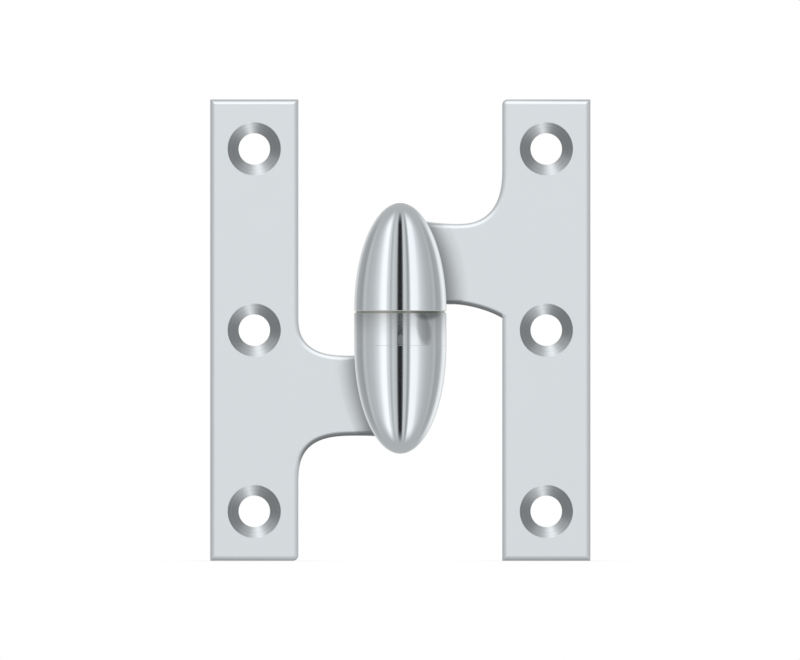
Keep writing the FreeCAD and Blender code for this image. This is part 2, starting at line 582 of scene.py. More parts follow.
@dataclass(frozen=True)
class TurnedFinish:
    """Plated metal that was turned by a countersink, with concentric cutting marks."""

    name: str
    tint: Point
    roughness: float
    added_roughness: float
    mark_width: float
    mark_slope: float
    mark_shade: float
    sizes: HingeSizes = SIZES

    def material(self) -> Material:
        """Makes the finish.

        Returns:
            A metal whose normals lean in and out across fine rings round each screw hole.
        """
        made, graph = new_material(self.name)
        along, _, height = graph.split(graph.take("ShaderNodeTexCoord", "Object"))
        pitch = self.sizes.screw_pitch * MM
        across = abs(along) - self.sizes.plate_centre * MM
        rise = height - (height / pitch).math("ROUND") * pitch
        distance = (across * across + rise * rise).math("SQRT")
        marks = graph.take(
            "ShaderNodeTexNoise",
            "Fac",
            {"noise_dimensions": "1D"},
            {"W": distance, "Scale": 1 / (self.mark_width * MM), "Detail": 3.0},
        )
        lean = (marks - 0.5) * (2 * self.mark_slope) / distance
        parts = {"X": across * along.math("SIGN") * lean, "Z": rise * lean}
        outward = graph.take("ShaderNodeCombineXYZ", 0, inputs=parts)
        plain = graph.take("ShaderNodeTexCoord", "Normal")
        leaning = graph.vector("NORMALIZE", graph.vector("ADD", plain, outward))
        settings = {"vector_type": "NORMAL", "convert_from": "OBJECT", "convert_to": "WORLD"}
        turned = graph.take("ShaderNodeVectorTransform", 0, settings, {0: leaning})
        dark = tuple(part * self.mark_shade for part in self.tint) + (1.0,)
        colour = graph.blend(marks, dark, self.tint + (1.0,))
        roughness = marks * self.added_roughness + self.roughness
        shader = graph.metal(colour, roughness, Normal=turned)
        graph.close("ShaderNodeOutputMaterial", shader)
        return made


COLLAR_WEAR_AND_SHADE = WearAndPaintedShade(
    veil=0.3,
    seam_shade=0.33,
    patches=(
        Patch(3.7, 2.5, 2.2, 1.35, shade=0.5),
        Patch(3.2, 0.25, 1.2, 2.95, shade=0.4, lean=-0.15),
        Patch(0.03, -1.4, 0.5, 1.1, veil=0.3),
    ),
)
WASHER_DARK_PATCH = WearAndPaintedShade(patches=(Patch(3.4, 2.8, 2.6, 1.0, shade=0.55),))
POLISHED = ChromeFinish("polished_chrome", (0.585, 0.62, 0.645), 0.07, 0.02, 4.0)
SATIN = ChromeFinish("satin_chrome", (0.671, 0.704, 0.728), 0.36, 0.03, 5.0, arm=ArmPaintedShade())
COLLAR = ChromeFinish(
    "collar_chrome", (0.585, 0.615, 0.635), 0.075, 0.02, 4.0, wear_and_shade=COLLAR_WEAR_AND_SHADE
)
# The washer's dark colour is partly aged brass and partly painted shade of its recess in the
# seam.
BRASS = ChromeFinish("washer_brass", (0.27, 0.27, 0.225), 0.35, 0.05, 2.0, wear_and_shade=WASHER_DARK_PATCH)
STEEL = ChromeFinish("ground_steel", (0.5, 0.5, 0.5), 0.22, 0.04, 1.0)
TURNED = TurnedFinish("turned_countersink", (0.56, 0.59, 0.61), 0.14, 0.1, 0.13, 0.3, 0.88)


def select_only(*shapes: bpy.types.Object) -> None:
    """Selects some objects and nothing else, and works on the first of them.

    Args:
        *shapes: The objects.
    """
    bpy.ops.object.select_all(action="DESELECT")
    for shape in reversed(shapes):
        shape.select_set(True)
        bpy.context.view_layer.objects.active = shape


class Workpiece:
    """One mesh on the bench: a primitive, then what Blender's operators make of it."""

    def __init__(self, name: str) -> None:
        """Takes the primitive that was just added, and puts its place into its mesh.

        Args:
            name: The piece's name.
        """
        self.shape = bpy.context.active_object
        self.shape.name = self.shape.data.name = name
        bpy.ops.object.transform_apply(location=True, rotation=True, scale=True)

    @classmethod
    def sheet(cls, name: str, centre: Point, width: float, height: float) -> "Workpiece":
        """Starts from an upright plane whose face looks along -Y.

        Args:
            name: The piece's name.
            centre: Its centre, in millimetres.
            width: Its size along X.
            height: Its size along Z.

        Returns:
            The piece.
        """
        select_only()
        bpy.ops.mesh.primitive_plane_add(
            size=MM, location=Vector(centre) * MM, rotation=(math.pi / 2, 0, 0)
        )
        bpy.context.active_object.scale = (width, height, 1)
        return cls(name)

    @classmethod
    def cylinder(
        cls, name: str, radius: float, depth: float, foot: float, sides: int = 192
    ) -> "Workpiece":
        """Starts from a cylinder on the pin axis.

        Args:
            name: The piece's name.
            radius: Its radius, in millimetres.
            depth: Its length along Z.
            foot: The height of its lower face.
            sides: How many sides it has.

        Returns:
            The piece.
        """
        select_only()
        place = Vector((0, 0, foot + depth / 2)) * MM
        bpy.ops.mesh.primitive_cylinder_add(
            vertices=sides, radius=radius * MM, depth=depth * MM, location=place
        )
        return cls(name)

    @classmethod
    def ball(cls, name: str, radius: float, height: float, sides: int, rings: int) -> "Workpiece":
        """Starts from a sphere on the pin axis.

        Args:
            name: The piece's name.
            radius: Its radius, in millimetres.
            height: The height of its centre.
            sides: How many sides it has round Z.
            rings: How many rings it has from pole to pole.

        Returns:
            The piece.
        """
        select_only()
        bpy.ops.mesh.primitive_uv_sphere_add(
            segments=sides, ring_count=rings, radius=radius * MM, location=(0, 0, height * MM)
        )
        return cls(name)

    @contextmanager
    def editing(self) -> Iterator[None]:
        """Works on this piece alone in edit mode, with nothing selected at first."""
        select_only(self.shape)
        bpy.ops.object.mode_set(mode="EDIT")
        bpy.ops.mesh.select_all(action="DESELECT")
        yield
        bpy.ops.object.mode_set(mode="OBJECT")

    def pick(self, kind: str, test: Callable[[Any], bool]) -> None:
        """Selects faces, edges or vertices, and nothing else.

        Args:
            kind: FACE, EDGE or VERT.
            test: Says whether an element is wanted.
        """
        bpy.ops.mesh.select_mode(type=kind)
        bpy.ops.mesh.select_all(action="DESELECT")
        mesh = bmesh.from_edit_mesh(self.shape.data)
        for element in {"FACE": mesh.faces, "EDGE": mesh.edges, "VERT": mesh.verts}[kind]:
            if test(element):
                element.select_set(True)
        mesh.select_flush_mode()
        bmesh.update_edit_mesh(self.shape.data)

    def pick_all(self) -> None:
        """Selects everything."""
        bpy.ops.mesh.select_all(action="SELECT")

    def pick_faces_at(self, height: float) -> None:
        """Selects the level faces at a height in millimetres."""
        self.pick("FACE", lambda face: all(near(v.co.z, height) for v in face.verts))

    def pick_place(self, x: float, z: float) -> None:
        """Selects the vertices at a place across and a height, in millimetres."""
        self.pick("VERT", lambda v: near(v.co.x, x) and near(v.co.z, z))

    def push(self, x: float = 0.0, y: float = 0.0, z: float = 0.0) -> None:
        """Moves what is selected, by millimetres."""
        bpy.ops.transform.translate(value=(x * MM, y * MM, z * MM))

    def draw_out(self, x: float = 0.0, y: float = 0.0, z: float = 0.0) -> None:
        """Extrudes what is selected, by millimetres."""
        move = {"value": (x * MM, y * MM, z * MM)}
        bpy.ops.mesh.extrude_region_move(TRANSFORM_OT_translate=move)

    def stretch(self, across: float, upwards: float, height: float) -> None:
        """Scales what is selected, across and along the Z axis, from a height on it."""
        share, centre = (across, across, upwards), (0, 0, height * MM)
        bpy.ops.transform.resize(value=share, center_override=centre)

    def turn(self, angle: float, axis: str) -> None:
        """Turns the whole piece round an axis of the frame, against the right-hand rule."""
        self.pick_all()
        bpy.ops.transform.rotate(value=angle, orient_axis=axis, center_override=(0, 0, 0))

    def part(self, facing: Point, place: float) -> None:
        """Parts the faces by a plane that faces UP or ACROSS, at a place in millimetres."""
        self.pick_all()
        bpy.ops.mesh.bisect(plane_co=Vector(facing) * (place * MM), plane_no=facing)

    def round_off(self, kind: str, reach: float, segments: int, profile: float = 0.5) -> None:
        """Bevels what is selected, EDGES or VERTICES, by millimetres; profile 0.5 is round."""
        shape = {"offset": reach * MM, "segments": segments, "profile": profile}
        bpy.ops.mesh.bevel(offset_type="OFFSET", affect=kind, clamp_overlap=False, **shape)

    def merge(self) -> None:
        """Merges vertices that lie in one place."""
        self.pick_all()
        bpy.ops.mesh.remove_doubles(threshold=NEAR)

    def face_outwards(self) -> None:
        """Turns every face outwards."""
        self.pick_all()
        bpy.ops.mesh.normals_make_consistent(inside=False)

    def modify(self, kind: str, **settings: Any) -> None:
        """Adds a modifier and applies it.

        Args:
            kind: The modifier's type.
            **settings: Its settings.
        """
        modifier = self.shape.modifiers.new("step", kind)
        for name, value in settings.items():
            setattr(modifier, name, value)
        select_only(self.shape)
        bpy.ops.object.modifier_apply(modifier=modifier.name)

    def cut_with(self, cutter: "Workpiece") -> None:
        """Takes another piece's shape out of this one, and does away with that piece.

        Args:
            cutter: What is taken out.
        """
        self.modify("BOOLEAN", operation="DIFFERENCE", solver="EXACT", object=cutter.shape)
        bpy.data.objects.remove(cutter.shape)
        with self.editing():
            self.merge()
            bpy.ops.mesh.dissolve_degenerate(threshold=NEAR)

    def dress(
        self, finish: Material, body: str, node: str, slot: str, angle: float = SMOOTH_ANGLE
    ) -> None:
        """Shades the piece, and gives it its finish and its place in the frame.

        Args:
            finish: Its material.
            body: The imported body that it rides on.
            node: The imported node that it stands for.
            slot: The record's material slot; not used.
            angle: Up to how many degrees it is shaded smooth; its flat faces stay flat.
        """
        select_only(self.shape)
        bpy.ops.object.shade_smooth_by_angle(angle=math.radians(angle))
        self.modify("WEIGHTED_NORMAL", keep_sharp=True, weight=100)
        self.shape.data.materials.append(finish)
        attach(self.shape, body)
        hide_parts(node)
        LOG.info("%s: %d faces on %s", self.shape.name, len(self.shape.data.polygons), body)


def joined(pieces: Sequence[Workpiece], name: str = "cutter") -> Workpiece:
    """Joins pieces into the first of them.

    Args:
        pieces: What is joined.
        name: The new name.

    Returns:
        The first piece.
    """
    select_only(*(piece.shape for piece in pieces))
    bpy.ops.object.join()
    pieces[0].shape.name = pieces[0].shape.data.name = name
    return pieces[0]


def near(value: float, place: float) -> bool:
    """Says whether a coordinate in metres lies at a place in millimetres."""
    return abs(value - place * MM) < NEAR


def edge_spans(edge: Edge, x: float, z: float) -> bool:
    """Says whether an upright edge at a place across passes a height, in millimetres."""
    low, high = sorted(vertex.co.z for vertex in edge.verts)
    return all(near(v.co.x, x) for v in edge.verts) and low < z * MM < high


def edge_at_depth(edge: Edge, depth: float) -> bool:
    """Says whether an edge lies at a depth in millimetres and isn't the arm's hidden end."""
    hidden = all(near(vertex.co.x, 0.0) for vertex in edge.verts)
    return not hidden and all(near(vertex.co.y, depth) for vertex in edge.verts)


@dataclass(frozen=True)
class Corner:
    """A corner of a leaf's outline that is rounded off."""

    x: float
    z: float
    reach: float
    segments: int
    profile: float = 0.5
    stretch: float = 1.0

    def holds(self, vertex: Vertex) -> bool:
        """Says whether a vertex belongs to the corner's rounding."""
        away = max(abs(vertex.co.x - self.x * MM), abs(vertex.co.z - self.z * MM))
        return away < self.reach * MM + NEAR


def profile_of(fullness: float) -> float:
    """Bevel profile with the middle of a curve whose handles reach that far, from 0 to 1."""
    middle = (3 * (1 - fullness) + 1) / 8
    return (1 - middle) ** 2


@dataclass
class Leaf:
    """One leaf of the hinge: a plate with its arm, and the domed knuckle at the arm's end."""

    side: str
    arm: ArmSizes
    seat: float
    rim_break: float
    bore_radius: float
    upside_down: bool
    sizes: HingeSizes = SIZES
    notch_round: float = 0.4
    round_segments: int = 10
    sweep_segments: int = 36
    arc_segments: int = 20
    corner_segments: int = 12
    notch_segments: int = 6
    knuckle_grid: Grid = (192, 160)
    hole_sides: int = 160
    pin_wall: float = 1.0
    root_reach: float = 3.3
    root_steepness: float = 0.75
    root_lap: float = 0.5
    root_margin: float = 0.02
    root_columns: int = 16
    root_rows: int = 16
    root_depth: float = 1.5
    skin: float = 0.01
    hole_lead: float = 1.0
    plate_smooth_angle: float = 15.0

    def build(self, satin: Material, polished: Material, turned: Material) -> None:
        """Models the leaf and dresses it.

        Args:
            satin: The finish of plate and arm.
            polished: The finish of the knuckle.
            turned: The finish of the screw holes.
        """
        pieces = (
            (self.plate(), satin, self.plate_smooth_angle),
            (self.root(), satin, SMOOTH_ANGLE),
            (self.knuckle(), polished, SMOOTH_ANGLE),
            (self.sinks(), turned, SMOOTH_ANGLE),
        )
        for piece, finish, angle in pieces:
            if self.upside_down:
                with piece.editing():
                    piece.turn(math.pi, "Y")
            piece.dress(finish, self.side + "_side", self.side + "_leaf", "leaf_chrome", angle)

    @property
    def rim(self) -> float:
        """Height at which the knuckle is widest, in millimetres."""
        return self.seat + self.rim_break

    @property
    def sweep_bend(self) -> float:
        """Where a shallow sweep's end tangents cross, in millimetres from the pin axis."""
        return self.sizes.plate_offset - self.arm.inner_run + self.arm.shallow.tangent

    def stations(self) -> Sequence[Point]:
        """Lists the arm's ends as it is drawn out from the plate towards the pin axis.

        Returns:
            For each end, its distance from the axis and its lower and upper height.
        """
        arm, start = self.arm, self.sizes.plate_offset
        low, high = arm.inner_edge, arm.outer_edge
        flare_start = start - arm.outer_run
        risen = high + arm.flare_rise(arm.flare.reach)
        ends = [
            (flare_start - arm.flare.tangent, low, high),
            (flare_start - arm.flare.reach, low, risen),
            (0.0, low, high - self.sizes.arm_root_drop),
        ]
        if arm.sweep is InnerSweep.SHALLOW:
            return [(start, low - arm.inner_rise, high), (self.sweep_bend, low, high)] + ends
        return [(start, low, high)] + ends

    def corners(self) -> Sequence[Corner]:
        """Lists the outline's rounded corners.

        Returns:
            The corners, before they are rounded.
        """
        s, arm, start = self.sizes, self.arm, self.sizes.plate_offset
        flare_x = start - arm.outer_run - arm.flare.tangent
        profile, stretch = profile_of(arm.outer_fullness), arm.outer_rise / arm.outer_run
        listed = [
            Corner(start, arm.outer_edge, arm.outer_run, self.sweep_segments, profile, stretch),
            Corner(flare_x, arm.outer_edge, arm.flare.tangent, self.corner_segments),
            Corner(start, s.leaf_height / 2, s.corner_round, self.corner_segments),
        ]
        if arm.sweep is InnerSweep.SHALLOW:
            notch = self.notch_round * math.tan((math.pi / 2 - arm.shallow.turn) / 2)
            foot, tangent = arm.inner_edge - arm.inner_rise, arm.shallow.tangent
            bend = Corner(self.sweep_bend, arm.inner_edge, tangent, self.arc_segments)
            return listed + [bend, Corner(start, foot, notch, self.notch_segments)]
        shape = (profile_of(arm.inner_fullness), arm.inner_rise / arm.inner_run)
        return listed + [
            Corner(start, arm.inner_edge, arm.inner_run, self.sweep_segments, *shape)
        ]

    def plate(self) -> Workpiece:
        """Models the plate and the arm, knuckle end up.

        Returns:
            The piece.
        """
        s = self.sizes
        centre = (s.plate_centre, s.front_y, 0.0)
        piece = Workpiece.sheet(self.side + "_plate", centre, s.plate_width, s.leaf_height)
        with piece.editing():
            self.draw_arm(piece)
            self.round_outline(piece)
            self.thicken(piece)
        depth = s.pin_depth + s.bore_end_room + self.pin_wall
        room = Workpiece.cylinder("room", self.bore_radius + self.pin_wall / 2, depth, self.seat)
        piece.cut_with(joined(self.screw_holes(self.hole_lead) + [room]))
        return piece

    def draw_arm(self, piece: Workpiece) -> None:
        """Draws the arm out of the plate's inner edge, station by station.

        Args:
            piece: The plate, in edit mode.
        """
        stations = self.stations()
        x, low, high = stations[0]
        piece.part(UP, low)
        piece.part(UP, high)
        piece.pick("EDGE", lambda e: edge_spans(e, x, (low + high) / 2))
        for next_x, next_low, next_high in stations[1:]:
            piece.draw_out(x=next_x - x)
            for old, new in ((low, next_low), (high, next_high)):
                if abs(new - old) > NEAR:
                    piece.pick_place(next_x, old)
                    piece.push(z=new - old)
            x, low, high = next_x, next_low, next_high
            piece.pick("EDGE", lambda e: edge_spans(e, x, (low + high) / 2))
        piece.pick_all()
        bpy.ops.mesh.dissolve_limited(angle_limit=FLAT_ANGLE)

    def round_outline(self, piece: Workpiece) -> None:
        """Rounds the outline's corners one by one.

        Args:
            piece: The flat leaf, in edit mode.
        """
        for corner in self.corners():
            piece.pick_place(corner.x, corner.z)
            piece.round_off("VERTICES", corner.reach, corner.segments, corner.profile)
            if corner.stretch != 1.0:
                piece.pick("VERT", corner.holds)
                piece.stretch(1.0, corner.stretch, corner.z)
            piece.merge()

    def thicken(self, piece: Workpiece) -> None:
        """Gives the flat leaf its thickness and rounds its front and back edges.

        The leaf is also parted along each hole's centre, so that no face has a hole inside,
        and just inside its rounded edges, so that these shade evenly from end to end.

        Args:
            piece: The flat leaf, in edit mode.
        """
        s = self.sizes
        piece.pick_all()
        piece.draw_out(y=s.leaf_thickness)
        for depth, radius in ((s.front_y, s.front_round), (s.back_y, s.back_round)):
            piece.pick("EDGE", lambda e: edge_at_depth(e, depth))
            piece.round_off("EDGES", radius, self.round_segments)
        inside = s.leaf_height / 2 - s.corner_round
        for level in (-inside, -s.screw_pitch, 0.0, s.screw_pitch, inside):
            piece.part(UP, level)
        for side in (-1, 1):
            piece.part(ACROSS, s.plate_centre + side * (s.plate_width / 2 - s.corner_round))
        piece.face_outwards()

    def screw_holes(self, lead: float) -> List[Workpiece]:
        """Models the space of each countersunk hole.

        Args:
            lead: How far it goes on in front of the leaf and behind it.

        Returns:
            The three pieces.
        """
        s = self.sizes
        spread = math.tan(math.radians(s.countersink_angle / 2))
        sink = (s.screw_head_radius - s.screw_hole_radius) / spread
        holes = []
        for step in (-1, 0, 1):
            hole = Workpiece.cylinder("hole", s.screw_hole_radius, sink, -sink, self.hole_sides)
            with hole.editing():
                hole.pick_faces_at(0.0)
                hole.stretch(s.screw_head_radius / s.screw_hole_radius, 1.0, 0.0)
                if lead > 0:
                    hole.draw_out(z=lead)
                    hole.stretch(1 + lead * spread / s.screw_head_radius, 1.0, lead)
                hole.pick_faces_at(-sink)
                hole.draw_out(z=sink - s.leaf_thickness - lead)
                hole.turn(-math.pi / 2, "X")
                hole.push(s.plate_centre, s.front_y, step * s.screw_pitch)
            holes.append(hole)
        return holes

    def sinks(self) -> Workpiece:
        """Models the turned skin of the screw holes.

        Returns:
            The piece.
        """
        piece = joined(self.screw_holes(0.0), self.side + "_sinks")
        with piece.editing():
            piece.pick("FACE", lambda face: abs(face.normal.y) > FACING)
            bpy.ops.mesh.delete(type="FACE")
        piece.modify("SOLIDIFY", thickness=self.skin * MM, offset=-1, use_even_offset=True)
        return piece

    def knuckle(self) -> Workpiece:
        """Models the domed knuckle, dome up, with its blind bore and the drill's cone in it.

        Returns:
            The piece.
        """
        s, rim = self.sizes, self.rim
        foot_radius = s.knuckle_radius - self.rim_break
        point = self.bore_radius / math.tan(math.radians(s.drill_point_angle / 2))
        name = self.side + "_knuckle"
        piece = Workpiece.ball(name, s.knuckle_radius, rim, *self.knuckle_grid)
        with piece.editing():
            piece.pick_all()
            piece.stretch(1.0, (s.dome_height - self.rim_break) / s.knuckle_radius, rim)
            piece.pick("VERT", lambda v: v.co.z < rim * MM - NEAR)
            bpy.ops.mesh.delete(type="VERT")
            piece.pick("EDGE", lambda e: all(near(v.co.z, rim) for v in e.verts))
            bpy.ops.mesh.edge_face_add()
            piece.pick_faces_at(rim)
            piece.draw_out(z=-self.rim_break)
            piece.stretch(foot_radius / s.knuckle_radius, 1.0, self.seat)
            piece.pick_faces_at(self.seat)
            bpy.ops.mesh.inset(thickness=(foot_radius - self.bore_radius) * MM, depth=0)
            piece.draw_out(z=s.pin_depth + s.bore_end_room)
            piece.draw_out(z=point)
            bpy.ops.mesh.merge(type="CENTER")
        return piece

    def outline(self, height: float) -> float:
        """Half width of the knuckle at a height, in millimetres."""
        share = (height - self.rim) / (self.sizes.dome_height - self.rim_break)
        return self.sizes.knuckle_radius * math.sqrt(max(0.0, 1 - share**2))

    def root(self) -> Workpiece:
        """Models the hollow that leads from the arm's front face up to the knuckle.

        A flat strip is raised column by column towards the knuckle, set row by row along
        the knuckle's outline and the arm's rounded edges, and then made solid.

        Returns:
            The piece, which laps into the arm and the knuckle.
        """
        s, reach, margin = self.sizes, self.root_reach, self.root_margin
        low, high = self.arm.inner_edge + margin, self.arm.outer_edge - margin
        width = reach + self.root_lap
        centre = (width / 2 - self.root_lap, s.front_y, (low + high) / 2)
        piece = Workpiece.sheet(self.side + "_root", centre, width, high - low)
        columns = [reach - width * n / self.root_columns for n in range(self.root_columns + 1)]
        rows = self.rows(low, high)
        with piece.editing():
            for place in columns[1:-1]:
                piece.part(ACROSS, place)
            for level, _ in rows[1:-1]:
                piece.part(UP, level)
            for place in columns:
                piece.pick("VERT", lambda v: near(v.co.x, place))
                rise = (reach - place) ** 3 / (3 * reach**2) * self.root_steepness
                piece.push(y=margin - rise)
            for level, depth in rows:
                piece.pick("VERT", lambda v: near(v.co.z, level))
                piece.push(x=self.outline(level), y=depth)
            self.follow_edges(piece, columns, [level for level, _ in rows])
            piece.pick_all()
            piece.draw_out(y=self.root_depth)
            piece.face_outwards()
        return piece

    def rows(self, low: float, high: float) -> Grades:
        """Lists the rows of the arm's root.

        Args:
            low: The height of the first row.
            high: The height of the last.

        Returns:
            For each row, its height and how far the arm's rounded edge has sunk there.
        """
        radius, steps = self.sizes.front_round, self.round_segments
        angles = [math.pi / 2 * step / steps for step in range(steps + 1)]
        edge = [(radius * (1 - math.sin(a)), radius * (1 - math.cos(a))) for a in angles]
        step = (high - low - 2 * radius) / self.root_rows
        listed = [(low + inwards, sunk) for inwards, sunk in reversed(edge)]
        listed += [(low + radius + step * n, 0.0) for n in range(1, self.root_rows)]
        return listed + [(high - inwards, sunk) for inwards, sunk in edge]

    def follow_edges(self, piece: Workpiece, columns: Lengths, levels: Lengths) -> None:
        """Sets the root's outermost rows along the flare and the sweep of the arm's edges.

        Args:
            piece: The root, as a sheet in edit mode.
            columns: Each column's distance from the knuckle's outline.
            levels: Each row's height.
        """
        start, count = self.sizes.plate_offset, self.round_segments + 1
        for number, level in enumerate(levels):
            for column in columns:
                x, shift = self.outline(level) + column, 0.0
                if number < count:
                    shift = -self.arm.inner_drop(x - start + self.arm.inner_run)
                elif number >= len(levels) - count:
                    shift = self.arm.flare_rise(start - self.arm.outer_run - x)
                if shift:
                    piece.pick_place(x, level)
                    piece.push(z=shift)


@dataclass
class Ring:
    """A flat ring round the pin: the collar or the washer."""

    name: str
    body: str
    slot: str
    foot: float
    height: float
    radius: float
    bore_radius: float
    foot_break: float
    top_break: float
    rim_slack: float = 0.02
    break_segments: int = 3

    def build(self, finish: Material) -> None:
        """Models the ring and dresses it.

        Args:
            finish: Its material.
        """
        wall = self.radius - self.bore_radius
        piece = Workpiece.cylinder(self.name + "_ring", self.radius, self.height, self.foot)
        with piece.editing():
            piece.pick("FACE", lambda face: abs(face.normal.z) > FACING)
            bpy.ops.mesh.inset(thickness=wall * MM, depth=0, use_individual=True)
            bpy.ops.mesh.delete(type="FACE")
            near_bore = self.bore_radius * MM + NEAR
            piece.pick("EDGE", lambda e: all(v.co.xy.length < near_bore for v in e.verts))
            bpy.ops.mesh.bridge_edge_loops()
            ends = ((self.foot, self.foot_break), (self.foot + self.height, self.top_break))
            for height, width in ends:
                piece.pick("EDGE", lambda e: all(self.on_rim(v, height) for v in e.verts))
                piece.round_off("EDGES", width, self.break_segments)
            piece.face_outwards()
        piece.dress(finish, self.body, self.name, self.slot)

    def on_rim(self, vertex: Vertex, height: float) -> bool:
        """Says whether a vertex lies on the ring's rim at a height in millimetres."""
        out = abs(vertex.co.xy.length - self.radius * MM)
        return near(vertex.co.z, height) and out < self.rim_slack * MM


@dataclass
class Pin:
    """The pin on which the door leaf turns."""

    name: str = "hinge_pin"
    body: str = "frame_side"
    sizes: HingeSizes = SIZES
    sides: int = 128

    def build(self, finish: Material) -> None:
        """Models the pin and dresses it.

        Args:
            finish: Its material.
        """
        s = self.sizes
        foot, top = s.frame_seat - s.pin_depth, s.door_seat + s.pin_depth
        name = self.name + "_rod"
        piece = Workpiece.cylinder(name, s.pin_radius, top - foot, foot, self.sides)
        ends = (
            (top, s.pin_lead_length, s.pin_lead_width),
            (foot, -s.pin_foot_chamfer, s.pin_foot_chamfer),
        )
        with piece.editing():
            for height, length, width in ends:
                piece.pick_faces_at(height)
                piece.push(z=-length)
                piece.draw_out(z=length)
                piece.stretch(1 - width / s.pin_radius, 1.0, height)
        piece.dress(finish, self.body, self.name, "pin_steel")


@dataclass(frozen=True)
class Direction:
    """A direction in which a tent is seen, by its parts to the right, away and upwards."""

    graph: Graph
    x: Signal
    y: Signal
    z: Signal

    @property
    def aside(self) -> Signal:
        """Its angle from the line to the camera, in radians."""
        return (self.y * -1).math("ARCCOSINE")

    @property
    def spread(self) -> Signal:
        """How far it lies off the line to the camera, and never quite 0."""
        return (self.x * self.x + self.z * self.z).math("SQRT").math("MAXIMUM", 1e-4)


@dataclass
class Tent:
    """A round light tent over the hinge that lights only the pieces of one finish."""

    name: str
    radius: float
    sheer: bool
    grid: Grid = (48, 24)

    def raise_over(self, pieces: Shapes, light: Callable[[Direction], Signal]) -> None:
        """Raises the tent over its pieces.

        Args:
            pieces: What it lights.
            light: Gives the cloth's light by direction.
        """
        shape = Workpiece.ball(self.name, self.radius, 0.0, *self.grid).shape
        shape.visible_camera = False
        lit = bpy.data.collections.new(self.name + "_lights")
        for piece in pieces:
            lit.objects.link(piece)
        shape.light_linking.receiver_collection = lit
        shape.data.materials.append(self.cloth(light))

    def cloth(self, light: Callable[[Direction], Signal]) -> Material:
        """Makes the tent's glowing cloth.

        Args:
            light: Gives its light by direction.

        Returns:
            The material, which shows the tent outside it if this one is sheer.
        """
        made, graph = new_material(self.name)
        made.cycles.emission_sampling = "NONE"
        outwards = graph.vector("NORMALIZE", graph.take("ShaderNodeTexCoord", "Object"))
        colour = light(Direction(graph, *graph.split(outwards)))
        shine = graph.take("ShaderNodeEmission", "Emission", inputs={"Color": colour})
        if self.sheer:
            clear = graph.take("ShaderNodeBsdfTransparent", "BSDF")
            shine = graph.take("ShaderNodeAddShader", 0, inputs={0: shine, 1: clear})
        graph.close("ShaderNodeOutputMaterial", shine)
        return made


